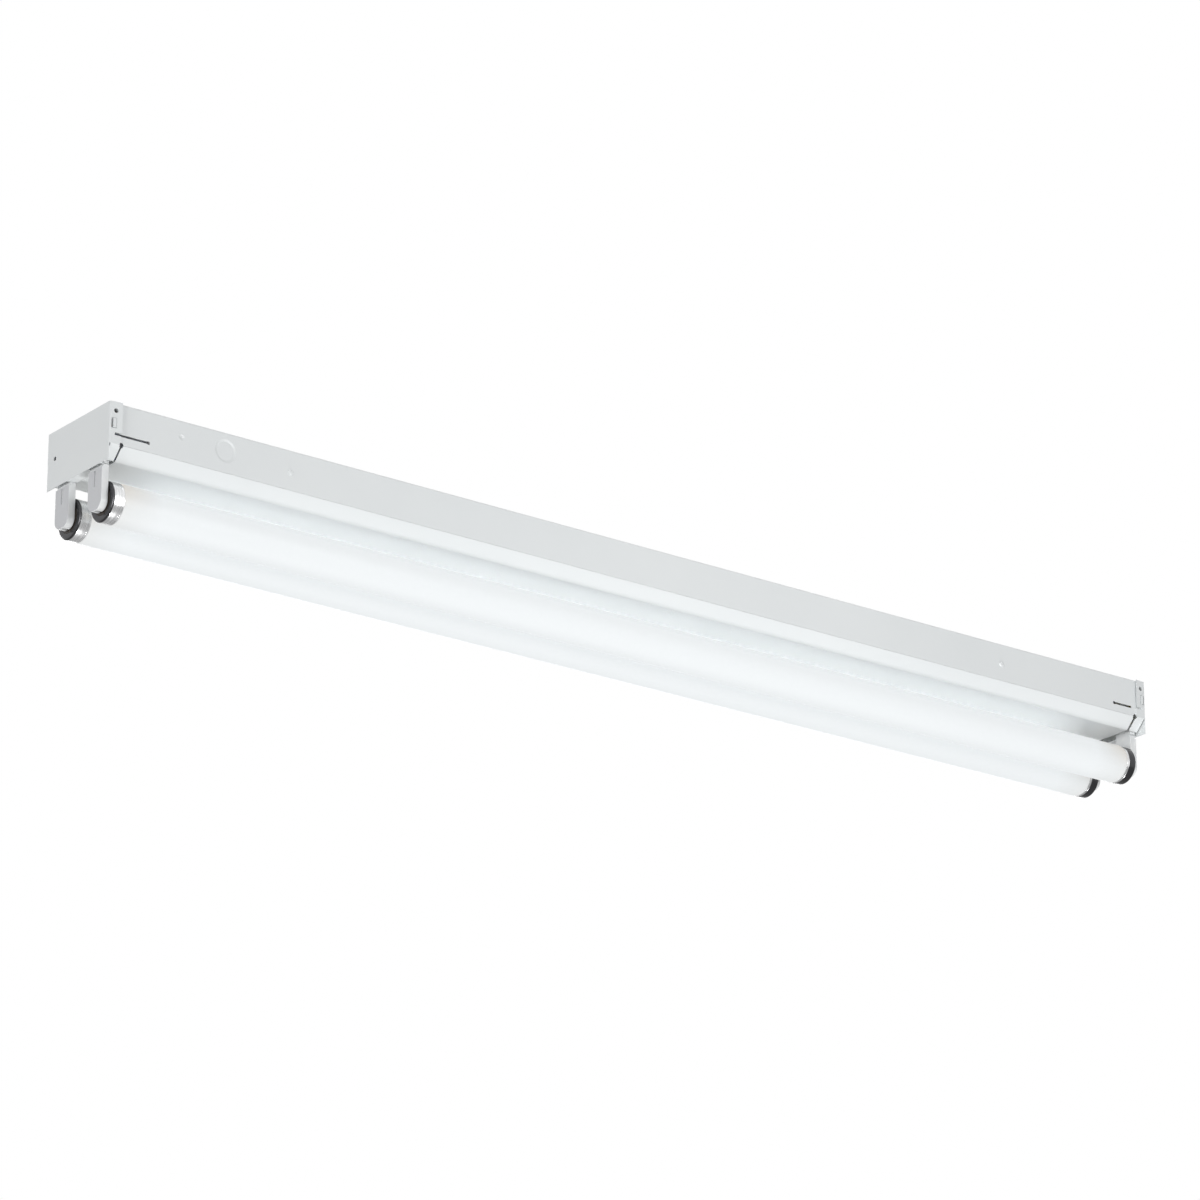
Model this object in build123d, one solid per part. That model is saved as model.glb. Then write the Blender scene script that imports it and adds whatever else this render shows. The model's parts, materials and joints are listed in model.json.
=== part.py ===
from build123d import *
import math
import os

# A two-lamp strip light for a ceiling, in millimetres. X runs along the lamps, Z is up, and the origin is
# the centre of the face that lies against the ceiling. Front is -Y, left is -X.

# Lamps
LAMP_LENGTH = 1199.4
LAMP_DIAMETER = 38.1
LAMP_SPACING = 53.8
LAMP_DROP = 84.3
LAMP_END_PLAY = 0.5
GLASS_WALL = 0.9
GLASS_SHOULDER = 1.6
CAP_LENGTH = 12.0
CAP_WALL = 0.5
CAP_STEP = 0.2
CAP_EDGE_RADIUS = 2.2
CEMENT_GAP = 0.2
INSULATOR_DIAMETER = 26.0
INSULATOR_RIM = 1.5
INSULATOR_THICKNESS = 1.4
PIN_DIAMETER = 2.4
PIN_SPACING = 12.7
PIN_LENGTH = 6.4
PIN_TIP_RADIUS = 0.6
PIN_ROOT = 3.0
STEM_DIAMETER = 9.0
STEM_LENGTH = 24.0
FLARE_THICKNESS = 1.2
FLARE_LENGTH = 10.0
CATHODE_SPACING = 7.0
CATHODE_REACH = 9.0
CATHODE_WIRE = 1.0
CATHODE_COIL = 1.8

# Folded sheet steel
SHEET = 0.8
BEND_RADIUS = 1.8
WIDTH = 101.6
SIDE_HEIGHT = 38.5
SLOPE_DROP = 11.5
END_HEIGHT = 54.0
SHEET_FIT = 0.1
OVERCUT = 1.0

# Channel
SLIT_DROP = 29.7
SLIT_WIDTH = 2.2
SLIT_REACH = 41.0
SHORT_SLIT_ROOT = 18.0
SLIT_EYE_DIAMETER = 3.4
LUG_DROP = 20.0
LUG_HEIGHT = 8.6
LUG_WIDTH = 3.0
LUG_REACH = 5.1
LUG_PROUD = 1.1
LUG_CLEARANCE = 0.5
LUG_OPENING = 1.6
SUPPLY_DIAMETER = 22.2
SCREW_HOLE_DIAMETER = 7.2
SCREW_REACH = 50.8
KNOCKOUT_DIAMETER = 22.2
KNOCKOUT_REACH = 121.0
KNOCKOUT_DROP = 17.7
DIMPLE_DIAMETER = 6.0
DIMPLE_REACH = 75.0
DIMPLE_DROP = 16.0
PRESS_DEPTH = 0.45
PRESS_SLOPE = 2.2

# End plates
FLANGE_LENGTH = 12.4
FLANGE_SPLAY = 1.5
FLANGE_SLIT_ROOT = 5.8
FLANGE_HOLE_DIAMETER = 4.4
FLANGE_HOLE_REACH = 6.3
FLANGE_HOLE_DROP = 8.3
EAR_RELIEF = 2.2
EAR_SEAM = 0.4
SHELF_DEPTH = 8.6
SHELF_WIDTH = 74.0
PLATE_HOLE_DIAMETER = 4.0
PLATE_HOLE_OFFSET = 37.7
PLATE_HOLE_DROP = 26.4

# Cover
COVER_SEAM = 0.2
COVER_END_GAP = 2.2
COVER_CLEARANCE = 0.3
COVER_LIP_HEIGHT = 10.5
COVER_LIP_SETBACK = 35.0
CORNER_EYE_DIAMETER = 4.8

# Cross braces and their rivets
BRACE_REACH = 190.0
BRACE_WIDTH = 24.0
BRACE_DROP = 21.5
BRACE_TAB = 10.0
RIVET_DIAMETER = 3.2
RIVET_HEAD_DIAMETER = 5.4
RIVET_HEAD_HEIGHT = 1.1
RIVET_DOME_RADIUS = 0.9
RIVET_CLEARANCE = 0.05

# Lampholders
HOLDER_THICKNESS = 7.6
HOLDER_GAP = 1.0
HOLDER_WIDTH = 22.0
HOLDER_TOP_DROP = 42.0
HOLDER_TAIL = 10.5
HOLDER_CORNER_RADIUS = 9.0
HOLDER_EDGE_RADIUS = 0.8
HOLDER_GROOVE = 1.5
HOLDER_GROOVE_CLEARANCE = 0.2
BACK_RECESS_DEPTH = 2.0
BACK_RECESS_HEIGHT = 3.0
BACK_GROOVE_WIDTH = 2.4
BACK_GROOVE_DEPTH = 2.0
BACK_GROOVE_START = 4.0
BACK_GROOVE_LENGTH = 14.5
ROTOR_DIAMETER = 15.6
ROTOR_CLEARANCE = 0.05
ROTOR_THICKNESS = 6.6
ROTOR_END_GAP = 0.1
PIN_CLEARANCE = 0.25
ENTRY_CLEARANCE = 0.4
PIN_TIP_GAP = 0.2
CONTACT_THICKNESS = 0.5
CONTACT_WIDTH = 3.0
CONTACT_GAP = 0.3
CONTACT_TAIL = 5.0
CONTACT_CLEARANCE = 0.15
TERMINAL_DEPTH = 6.6

# Ballast
BALLAST_X = -155.0
CASE_LENGTH = 240.0
CASE_WIDTH = 60.0
CASE_HEIGHT = 36.0
CASE_WALL = 0.8
CASE_EDGE_RADIUS = 2.5
BASE_SHEET = 0.9
BASE_EAR = 13.0
STUD_DIAMETER = 4.0
STUD_LENGTH = 8.0
STUD_CLEARANCE = 0.3
NUT_WIDTH = 8.0
NUT_HEIGHT = 3.2
CORE_LENGTH = 110.0
CORE_WIDTH = 46.0
CORE_HEIGHT = 26.0
CORE_LIMB = 14.0
CORE_X = 40.0
COIL_GAP = 0.4
COIL_SPLIT = 3.0
COIL_BRIDGE = 3.5
CAPACITOR_LENGTH = 80.0
CAPACITOR_WIDTH = 42.0
CAPACITOR_HEIGHT = 24.0
CAPACITOR_EDGE_RADIUS = 10.0
CAPACITOR_X = -68.0

# Wiring
WIRE_DIAMETER = 2.0
WIRE_DROP = 14.0
WIRE_BEND = 10.0
JOG_BEND = 100.0
JUMPER_BEND = 5.0
WIRE_TIP_GAP = 0.4
TERMINAL_INNER_OFFSET = 5.2
TERMINAL_OUTER_OFFSET = 8.35
LEAD_EXIT_INSET = 3.0
LEAD_JOG_START = 22.0
LEAD_JOG_LENGTH = 45.0
LONG_JUMPER_DROP = 7.0
SHORT_JUMPER_DROP = 29.0
SUPPLY_LEAD_INSET = 4.0
SUPPLY_LEAD_SPACING = 13.5
CONNECTOR_X = 48.0
CONNECTOR_LENGTH = 24.0
CONNECTOR_COLLAR = 8.0
CONNECTOR_MOUTH_DIAMETER = 12.0
CONNECTOR_TIP_DIAMETER = 7.0
CONNECTOR_BORE_DEPTH = 12.0
CONNECTOR_CLEARANCE = 0.3
GROUND_SCREW_DIAMETER = 4.0
GROUND_SCREW_LENGTH = 8.0
GROUND_HEAD_WIDTH = 8.0
GROUND_HEAD_HEIGHT = 3.0

# Worked out from the sizes above
END_X = LAMP_LENGTH / 2 + LAMP_END_PLAY + HOLDER_THICKNESS + HOLDER_GAP + SHEET
PLATE_INSIDE = END_X - SHEET
CHANNEL_END = END_X - BEND_RADIUS
CHANNEL_WIDTH = WIDTH - 2 * (SHEET + SHEET_FIT)
CHANNEL_INSIDE = CHANNEL_WIDTH - 2 * SHEET
COVER_END = END_X - FLANGE_LENGTH - COVER_END_GAP
CORNER_X = COVER_END + COVER_END_GAP / 2
HOLDER_OUTER_X = END_X - SHEET - HOLDER_GAP
HOLDER_INNER_X = HOLDER_OUTER_X - HOLDER_THICKNESS
HOLDER_BOTTOM_DROP = LAMP_DROP + HOLDER_TAIL
PIN_TIP_X = LAMP_LENGTH / 2 + PIN_LENGTH
PIN_POCKET_X = PIN_TIP_X + PIN_TIP_GAP
CONTACT_X = (HOLDER_INNER_X + PIN_TIP_X) / 2
CONTACT_Y = ROTOR_DIAMETER / 2 + CONTACT_GAP + CONTACT_THICKNESS / 2
SHELF_NOTCH = HOLDER_WIDTH - 2 * HOLDER_GROOVE + 2 * HOLDER_GROOVE_CLEARANCE
BRACE_X = END_X - BRACE_REACH
LEAD_EXIT_Y = CASE_WIDTH / 2 - LEAD_EXIT_INSET
WHITE_LEAD_Y = SUPPLY_LEAD_INSET - CASE_WIDTH / 2
BLACK_LEAD_Y = WHITE_LEAD_Y + SUPPLY_LEAD_SPACING

SIDES = {"front": -1, "rear": 1}
ENDS = {"left": -1, "right": 1}


def block(x_range, y_range, z_range):
    """A box between three pairs of planes."""
    sizes = [high - low for low, high in (x_range, y_range, z_range)]
    centre = [(high + low) / 2 for low, high in (x_range, y_range, z_range)]
    return Pos(*centre) * Box(*sizes)


def rod_x(diameter, x_range, y, z):
    """A round rod along X."""
    length = x_range[1] - x_range[0]
    return Pos(sum(x_range) / 2, y, z) * Rot(0, 90, 0) * Cylinder(diameter / 2, length)


def rod_y(diameter, y_range, x, z):
    """A round rod along Y."""
    length = y_range[1] - y_range[0]
    return Pos(x, sum(y_range) / 2, z) * Rot(90, 0, 0) * Cylinder(diameter / 2, length)


def rod_z(diameter, z_range, x, y):
    """A round rod along Z."""
    length = z_range[1] - z_range[0]
    return Pos(x, y, sum(z_range) / 2) * Cylinder(diameter / 2, length)


def turn_about_x(points, rounded=()):
    """A solid turned about the X axis from (x, radius) points, with some corners rounded."""
    outline = make_face(Polyline(*points, close=True))
    for corner, corner_radius in rounded:
        outline = fillet(outline.vertices().sort_by_distance(corner)[0], corner_radius)
    return revolve(Plane.XZ * outline, Axis.X)


def at_end(piece, end):
    """A piece drawn for the right end, turned half round for the left end."""
    return piece if end > 0 else Rot(0, 0, 180) * piece


def channel():
    """Folded U-shaped body with its holes, slits, pressed knockouts and locking lugs."""
    outer = Pos(0, -SIDE_HEIGHT / 2) * Rectangle(CHANNEL_WIDTH, SIDE_HEIGHT)
    outer = fillet(outer.vertices().group_by(Axis.Y)[-1], BEND_RADIUS)
    inner = Pos(0, -SHEET - SIDE_HEIGHT / 2) * Rectangle(CHANNEL_INSIDE, SIDE_HEIGHT)
    inner = fillet(inner.vertices().group_by(Axis.Y)[-1], BEND_RADIUS - SHEET)
    body = extrude(Plane.YZ * (outer - inner), CHANNEL_END, both=True)

    through = (-SHEET - OVERCUT, OVERCUT)
    body -= rod_z(SUPPLY_DIAMETER, through, 0, 0)
    for end in ENDS.values():
        body -= rod_z(SCREW_HOLE_DIAMETER, through, end * (END_X - SCREW_REACH), 0)
        across = (-WIDTH, WIDTH)
        slit_root = SHORT_SLIT_ROOT if end == ENDS["right"] else 0
        slit_x = sorted((end * (END_X - SLIT_REACH), end * (END_X - slit_root)))
        body -= block(slit_x, across, (-SLIT_DROP - SLIT_WIDTH / 2, -SLIT_DROP + SLIT_WIDTH / 2))
        body -= rod_y(SLIT_EYE_DIAMETER, across, end * (END_X - SLIT_REACH), -SLIT_DROP)
        body -= rod_y(FLANGE_HOLE_DIAMETER, across, end * (END_X - FLANGE_HOLE_REACH), -FLANGE_HOLE_DROP)
        body -= rod_y(CORNER_EYE_DIAMETER, across, end * CORNER_X, -SIDE_HEIGHT)
        opening_x = sorted((end * (END_X - LUG_REACH + LUG_WIDTH / 2), end * END_X))
        body -= block(opening_x, across, (-LUG_DROP - LUG_HEIGHT / 2, -LUG_DROP + LUG_HEIGHT / 2))
        rivet_hole = RIVET_DIAMETER + 2 * RIVET_CLEARANCE
        body -= rod_y(rivet_hole, across, end * BRACE_X, -BRACE_DROP)
    for side in SIDES.values():
        skin = side * CHANNEL_WIDTH / 2
        for diameter, reach, drop in (
            (KNOCKOUT_DIAMETER, KNOCKOUT_REACH, KNOCKOUT_DROP),
            (DIMPLE_DIAMETER, DIMPLE_REACH, DIMPLE_DROP),
        ):
            dish = Rot(-side * 90, 0, 0) * Cone(diameter / 2 - PRESS_SLOPE, diameter / 2, PRESS_DEPTH)
            body -= Pos(reach - END_X, skin - side * PRESS_DEPTH / 2, -drop) * dish
        lug_tip = side * (WIDTH / 2 + LUG_PROUD)
        lug_root = skin - side * SHEET / 2
        for end in ENDS.values():
            lug_x = end * (END_X - LUG_REACH)
            body += block(
                (lug_x - LUG_WIDTH / 2, lug_x + LUG_WIDTH / 2),
                sorted((lug_root, lug_tip)),
                (-LUG_DROP - LUG_HEIGHT / 2, -LUG_DROP + LUG_HEIGHT / 2),
            )
    return body


def plate_section(splay):
    """Section of the right end plate: its face and two flanges, whose free edges stand out by the splay."""
    spread = splay / FLANGE_LENGTH
    areas = []
    for face, inset, reach, bend in (
        (END_X, 0, FLANGE_LENGTH, BEND_RADIUS),
        (PLATE_INSIDE, SHEET, FLANGE_LENGTH + OVERCUT, BEND_RADIUS - SHEET),
    ):
        half = WIDTH / 2 - inset
        tip_half = half + spread * reach
        corners = [(END_X - reach, tip_half), (face, half), (face, -half), (END_X - reach, -tip_half)]
        area = make_face(Polyline(*corners, close=True))
        areas.append(fillet(area.vertices().group_by(Axis.X)[-1], bend))
    return areas[0] - areas[1]


def end_plate():
    """Right end plate: side flanges outside the channel, sloped ears and a notched bottom flange."""
    tab_height = SLIT_DROP - SLIT_WIDTH / 2
    plate = extrude(plate_section(FLANGE_SPLAY), tab_height, dir=(0, 0, -1))
    plate += Pos(0, 0, -tab_height) * extrude(plate_section(0), END_HEIGHT - tab_height, dir=(0, 0, -1))

    inside = (END_X - 2 * FLANGE_LENGTH, PLATE_INSIDE)
    across = (-WIDTH, WIDTH)
    ear_top = -SIDE_HEIGHT - EAR_SEAM
    plate -= block(inside, across, (-END_HEIGHT - OVERCUT, ear_top))
    slit = (END_X - 2 * FLANGE_LENGTH, END_X - FLANGE_SLIT_ROOT)
    plate -= block(slit, across, (-SLIT_DROP - SLIT_WIDTH / 2, -SLIT_DROP + SLIT_WIDTH / 2))
    plate -= rod_y(FLANGE_HOLE_DIAMETER, across, END_X - FLANGE_HOLE_REACH, -FLANGE_HOLE_DROP)
    lug_x = END_X - LUG_REACH
    slot_half_height = LUG_HEIGHT / 2 + LUG_CLEARANCE
    plate -= block(
        (lug_x - LUG_WIDTH / 2 - LUG_CLEARANCE, lug_x + LUG_WIDTH / 2 + LUG_OPENING),
        across,
        (-LUG_DROP - slot_half_height, -LUG_DROP + slot_half_height),
    )
    hole_x = (PLATE_INSIDE - OVERCUT, END_X + OVERCUT)
    plate -= rod_x(PLATE_HOLE_DIAMETER, hole_x, -PLATE_HOLE_OFFSET, -PLATE_HOLE_DROP)

    slant = SHEET * math.sqrt(2)
    half = WIDTH / 2
    for side in SIDES.values():
        ear = Polyline(
            (side * half, ear_top),
            (side * (half - SLOPE_DROP), ear_top - SLOPE_DROP),
            (side * (half - SLOPE_DROP - slant / 2), ear_top - SLOPE_DROP + slant / 2),
            (side * (half - SHEET), ear_top - SHEET + slant),
            close=True,
        )
        ear = extrude(Plane.YZ * make_face(ear), FLANGE_LENGTH - EAR_RELIEF)
        plate += Pos(END_X - FLANGE_LENGTH, 0, 0) * ear
    plate -= rod_y(CORNER_EYE_DIAMETER, across, CORNER_X, -SIDE_HEIGHT)

    shelf = block(
        (PLATE_INSIDE - SHELF_DEPTH, END_X - SHEET / 2),
        (-SHELF_WIDTH / 2, SHELF_WIDTH / 2),
        (-END_HEIGHT, -END_HEIGHT + SHEET),
    )
    for side in SIDES.values():
        lamp_y = side * LAMP_SPACING / 2
        shelf -= block(
            (PLATE_INSIDE - 2 * SHELF_DEPTH, PLATE_INSIDE),
            (lamp_y - SHELF_NOTCH / 2, lamp_y + SHELF_NOTCH / 2),
            (-END_HEIGHT - OVERCUT, -END_HEIGHT + SHEET + OVERCUT),
        )
    return plate + shelf


def channel_cover():
    """Snap-in cover: flat bottom, 45 degree sides and upright lips inside the channel."""
    half = CHANNEL_WIDTH / 2
    top = -SIDE_HEIGHT - COVER_SEAM
    bottom = top - SLOPE_DROP
    slant = SHEET * math.sqrt(2)
    corner_in = half - SLOPE_DROP - slant + SHEET
    right = [(half - slant, top), (half, top), (half - SLOPE_DROP, bottom)]
    left = [(-y, z) for y, z in reversed(right)]
    outline = Polyline(*right, *left, (-corner_in, bottom + SHEET), (corner_in, bottom + SHEET), close=True)
    section = make_face(outline)
    for side in SIDES.values():
        bend = (side * (half - SLOPE_DROP), bottom)
        section = fillet(section.vertices().sort_by_distance(bend)[0], BEND_RADIUS)
        bend_inside = (side * corner_in, bottom + SHEET)
        section = fillet(section.vertices().sort_by_distance(bend_inside)[0], BEND_RADIUS - SHEET)
    cover = extrude(Plane.YZ * section, COVER_END, both=True)
    for end in ENDS.values():
        cover -= rod_y(CORNER_EYE_DIAMETER, (-WIDTH, WIDTH), end * CORNER_X, -SIDE_HEIGHT)

    lip_outer = CHANNEL_INSIDE / 2 - COVER_CLEARANCE
    lip_root = top - (half - lip_outer)
    lip_end = COVER_END - COVER_LIP_SETBACK
    for side in SIDES.values():
        cover += block(
            (-lip_end, lip_end),
            sorted((side * (lip_outer - SHEET), side * lip_outer)),
            (lip_root, -SIDE_HEIGHT + COVER_LIP_HEIGHT),
        )
    return cover


def cross_brace(end):
    """Strap across the inside of the channel, riveted to both sides and pierced for a ground screw."""
    width = CHANNEL_INSIDE - 2 * SHEET_FIT
    outer = Pos(0, -BRACE_DROP) * Rectangle(width, BRACE_TAB)
    outer = fillet(outer.vertices().group_by(Axis.Y)[0], BEND_RADIUS)
    inner = Pos(0, -BRACE_DROP + SHEET) * Rectangle(width - 2 * SHEET, BRACE_TAB)
    inner = fillet(inner.vertices().group_by(Axis.Y)[0], BEND_RADIUS - SHEET)
    strap = extrude(Plane.YZ * (outer - inner), BRACE_WIDTH / 2, both=True)
    strap -= rod_y(RIVET_DIAMETER + 2 * RIVET_CLEARANCE, (-WIDTH, WIDTH), 0, -BRACE_DROP)
    strap -= rod_z(GROUND_SCREW_DIAMETER + 2 * RIVET_CLEARANCE, (-END_HEIGHT, -BRACE_DROP), 0, 0)
    return Pos(end * BRACE_X, 0, 0) * strap


def brace_rivets():
    """Four domed rivets that hold the braces to the channel's sides."""
    inner_face = CHANNEL_INSIDE / 2 - SHEET_FIT - SHEET
    outer_face = CHANNEL_WIDTH / 2
    rivet = rod_y(RIVET_DIAMETER, (inner_face - SHEET, outer_face + SHEET), 0, 0)
    dome = rod_y(RIVET_HEAD_DIAMETER, (outer_face, outer_face + RIVET_HEAD_HEIGHT), 0, 0)
    dome = fillet(dome.edges().group_by(Axis.Y)[-1], RIVET_DOME_RADIUS)
    rivet += dome
    rivet += rod_y(RIVET_HEAD_DIAMETER, (inner_face - SHEET, inner_face), 0, 0)
    rivets = []
    for end in ENDS.values():
        for side in SIDES.values():
            turned = rivet if side > 0 else Rot(0, 0, 180) * rivet
            rivets.append(Pos(end * BRACE_X, 0, -BRACE_DROP) * turned)
    return Compound(children=rivets)


def lampholder():
    """Right lampholder on the lamp axis: rotor bore, pin entry, contact pockets and shelf grooves."""
    height = HOLDER_BOTTOM_DROP - HOLDER_TOP_DROP
    outline = Pos(0, LAMP_DROP - HOLDER_TOP_DROP - height / 2) * Rectangle(HOLDER_WIDTH, height)
    outline = fillet(outline.vertices().group_by(Axis.Y)[0], HOLDER_CORNER_RADIUS)
    body = extrude(Plane.YZ * outline, HOLDER_THICKNESS)
    faces = body.faces().sort_by(Axis.X)
    rims = faces[0].edges() + faces[-1].edges()
    body = Pos(HOLDER_INNER_X, 0, 0) * fillet(rims, HOLDER_EDGE_RADIUS)

    shelf_z = LAMP_DROP - END_HEIGHT
    groove_z = (shelf_z - HOLDER_GROOVE_CLEARANCE, shelf_z + SHEET + HOLDER_GROOVE_CLEARANCE)
    whole_x = (HOLDER_INNER_X - OVERCUT, HOLDER_OUTER_X + OVERCUT)
    for side in SIDES.values():
        groove_root = side * (HOLDER_WIDTH / 2 - HOLDER_GROOVE)
        body -= block(whole_x, sorted((groove_root, side * HOLDER_WIDTH)), groove_z)

    bore = ROTOR_DIAMETER + 2 * ROTOR_CLEARANCE
    bore_floor = HOLDER_INNER_X + ROTOR_THICKNESS + 2 * ROTOR_END_GAP
    body -= rod_x(bore, (HOLDER_INNER_X - OVERCUT, bore_floor), 0, 0)
    entry_half = PIN_DIAMETER / 2 + ENTRY_CLEARANCE
    body -= block((HOLDER_INNER_X - OVERCUT, PIN_POCKET_X), (-entry_half, entry_half), (-HOLDER_WIDTH, 0))

    top_z = LAMP_DROP - HOLDER_TOP_DROP
    pocket_half = CONTACT_WIDTH / 2 + CONTACT_CLEARANCE
    pocket_x = (CONTACT_X - pocket_half, CONTACT_X + pocket_half)
    leaf_outer = CONTACT_Y + CONTACT_THICKNESS / 2 + CONTACT_CLEARANCE
    wire_half = WIRE_DIAMETER / 2 + CONTACT_CLEARANCE
    terminal_inner = TERMINAL_INNER_OFFSET - wire_half
    terminal_outer = TERMINAL_OUTER_OFFSET + wire_half
    for side in SIDES.values():
        leaf_y = sorted((side * (ROTOR_DIAMETER / 2 - CONTACT_CLEARANCE), side * leaf_outer))
        body -= block(pocket_x, leaf_y, (-CONTACT_TAIL - CONTACT_CLEARANCE, top_z + OVERCUT))
        terminal_y = sorted((side * terminal_inner, side * terminal_outer))
        body -= block(pocket_x, terminal_y, (top_z - TERMINAL_DEPTH, top_z + OVERCUT))

    body -= block(
        (HOLDER_OUTER_X - BACK_RECESS_DEPTH, HOLDER_OUTER_X + OVERCUT),
        (-HOLDER_WIDTH, HOLDER_WIDTH),
        (shelf_z - BACK_RECESS_HEIGHT, top_z + OVERCUT),
    )
    groove_top = shelf_z - BACK_GROOVE_START
    body -= block(
        (HOLDER_OUTER_X - BACK_GROOVE_DEPTH, HOLDER_OUTER_X + OVERCUT),
        (-BACK_GROOVE_WIDTH / 2, BACK_GROOVE_WIDTH / 2),
        (groove_top - BACK_GROOVE_LENGTH, groove_top),
    )
    return body


def rotor():
    """Right rotor on the lamp axis, with the slot that takes both pins of a lamp."""
    face = HOLDER_INNER_X + ROTOR_END_GAP
    disc = rod_x(ROTOR_DIAMETER, (face, face + ROTOR_THICKNESS), 0, 0)
    slot_half = PIN_DIAMETER / 2 + PIN_CLEARANCE
    across = (-ROTOR_DIAMETER, ROTOR_DIAMETER)
    return disc - block((face - OVERCUT, PIN_POCKET_X), across, (-slot_half, slot_half))


def contacts():
    """Two bronze strips beside the right rotor, each bent over at the top under its wire openings."""
    top = LAMP_DROP - HOLDER_TOP_DROP - TERMINAL_DEPTH + CONTACT_CLEARANCE
    strip_x = (CONTACT_X - CONTACT_WIDTH / 2, CONTACT_X + CONTACT_WIDTH / 2)
    strips = []
    for side in SIDES.values():
        outer = CONTACT_Y + CONTACT_THICKNESS / 2
        leaf_y = sorted((side * (outer - CONTACT_THICKNESS), side * outer))
        strip = block(strip_x, leaf_y, (-CONTACT_TAIL, top + CONTACT_THICKNESS))
        foot_y = sorted((side * (TERMINAL_INNER_OFFSET - WIRE_DIAMETER / 2), side * outer))
        strips.append(strip + block(strip_x, foot_y, (top, top + CONTACT_THICKNESS)))
    return Compound(children=strips)


def glass_tube():
    """Hollow glass tube, drawn in to a neck at each end inside the caps."""
    outer = LAMP_DIAMETER / 2
    neck = outer - CAP_STEP - CAP_WALL - CEMENT_GAP
    shoulder = LAMP_LENGTH / 2 - CAP_LENGTH
    body_end = shoulder - GLASS_SHOULDER
    neck_end = LAMP_LENGTH / 2 - CAP_WALL - 2 * INSULATOR_THICKNESS
    right = [(body_end, outer), (shoulder, neck), (neck_end, neck)]
    right_in = [(x, radius - GLASS_WALL) for x, radius in reversed(right)]
    half = right + right_in
    rounded = [((end * body_end, outer), GLASS_SHOULDER) for end in ENDS.values()]
    return turn_about_x(half + [(-x, radius) for x, radius in reversed(half)], rounded)


def lamp_cap():
    """Right metal cap: a cup over the glass neck with a hole for the insulating disc."""
    outer = LAMP_DIAMETER / 2 - CAP_STEP
    face = LAMP_LENGTH / 2
    mouth = face - CAP_LENGTH
    hole = INSULATOR_DIAMETER / 2
    points = [
        (mouth, outer),
        (face, outer),
        (face, hole),
        (face - CAP_WALL, hole),
        (face - CAP_WALL, outer - CAP_WALL),
        (mouth, outer - CAP_WALL),
    ]
    rounded = [(points[1], CAP_EDGE_RADIUS), (points[4], CAP_EDGE_RADIUS - CAP_WALL)]
    return turn_about_x(points, rounded)


def insulator():
    """Right insulating disc, held behind the cap's face by its rim and pierced for the pins."""
    face = LAMP_LENGTH / 2
    hole = INSULATOR_DIAMETER / 2 - SHEET_FIT
    rim_face = face - CAP_WALL - SHEET_FIT
    back = rim_face - INSULATOR_THICKNESS
    rim = hole + INSULATOR_RIM
    disc = turn_about_x([(back, 0), (back, rim), (rim_face, rim), (rim_face, hole), (face, hole), (face, 0)])
    for side in SIDES.values():
        pin_hole = PIN_DIAMETER + 2 * RIVET_CLEARANCE
        disc -= rod_x(pin_hole, (back - OVERCUT, face + OVERCUT), side * PIN_SPACING / 2, 0)
    return disc


def lamp_pins():
    """The two pins at the right end of a lamp, level with each other."""
    pins = []
    for side in SIDES.values():
        pin = rod_x(PIN_DIAMETER, (LAMP_LENGTH / 2 - PIN_ROOT, PIN_TIP_X), side * PIN_SPACING / 2, 0)
        tip = pin.edges().group_by(Axis.X)[-1]
        pins.append(fillet(tip, PIN_TIP_RADIUS))
    return pins


def lamp_stem():
    """Right glass stem: a flare that closes the tube's neck and a stalk that carries the cathode."""
    neck_end = LAMP_LENGTH / 2 - CAP_WALL - 2 * INSULATOR_THICKNESS
    flare = LAMP_DIAMETER / 2 - CAP_STEP - CAP_WALL - CEMENT_GAP - GLASS_WALL - SHEET_FIT
    stalk = STEM_DIAMETER / 2
    return turn_about_x([
        (neck_end, 0),
        (neck_end, flare),
        (neck_end - FLARE_THICKNESS, flare),
        (neck_end - FLARE_LENGTH, stalk),
        (neck_end - STEM_LENGTH, stalk),
        (neck_end - STEM_LENGTH, 0),
    ])


def cathode():
    """Right cathode: two support wires from the stem and the coil between them."""
    stalk_end = LAMP_LENGTH / 2 - CAP_WALL - 2 * INSULATOR_THICKNESS - STEM_LENGTH
    coil_x = stalk_end - CATHODE_REACH
    reach = CATHODE_SPACING / 2 + CATHODE_WIRE
    wires = rod_y(CATHODE_COIL, (-reach, reach), coil_x, 0)
    for side in SIDES.values():
        wires += rod_x(CATHODE_WIRE, (coil_x, stalk_end), side * CATHODE_SPACING / 2, 0)
    return wires


def ballast_base():
    """Flat base plate against the channel's top, with an ear and a stud hole at each end."""
    half = CASE_LENGTH / 2 + BASE_EAR
    plate = block((-half, half), (-CASE_WIDTH / 2, CASE_WIDTH / 2), (-SHEET - BASE_SHEET, -SHEET))
    for end in ENDS.values():
        hole = STUD_DIAMETER + 2 * STUD_CLEARANCE
        plate -= rod_z(hole, (-SHEET - BASE_SHEET - OVERCUT, 0), end * (half - BASE_EAR / 2), 0)
    return Pos(BALLAST_X, 0, 0) * plate


def ballast_case():
    """Drawn steel can, open towards the base plate."""
    top = -SHEET - BASE_SHEET
    half = CASE_LENGTH / 2
    can = block((-half, half), (-CASE_WIDTH / 2, CASE_WIDTH / 2), (top - CASE_HEIGHT, top))
    can = fillet(can.edges().filter_by(Axis.Z), CASE_EDGE_RADIUS)
    can = fillet(can.edges().group_by(Axis.Z)[0], CASE_EDGE_RADIUS)
    can -= block(
        (CASE_WALL - half, half - CASE_WALL),
        (CASE_WALL - CASE_WIDTH / 2, CASE_WIDTH / 2 - CASE_WALL),
        (top - CASE_HEIGHT + CASE_EDGE_RADIUS, top + OVERCUT),
    )
    return Pos(BALLAST_X, 0, 0) * can


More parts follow.
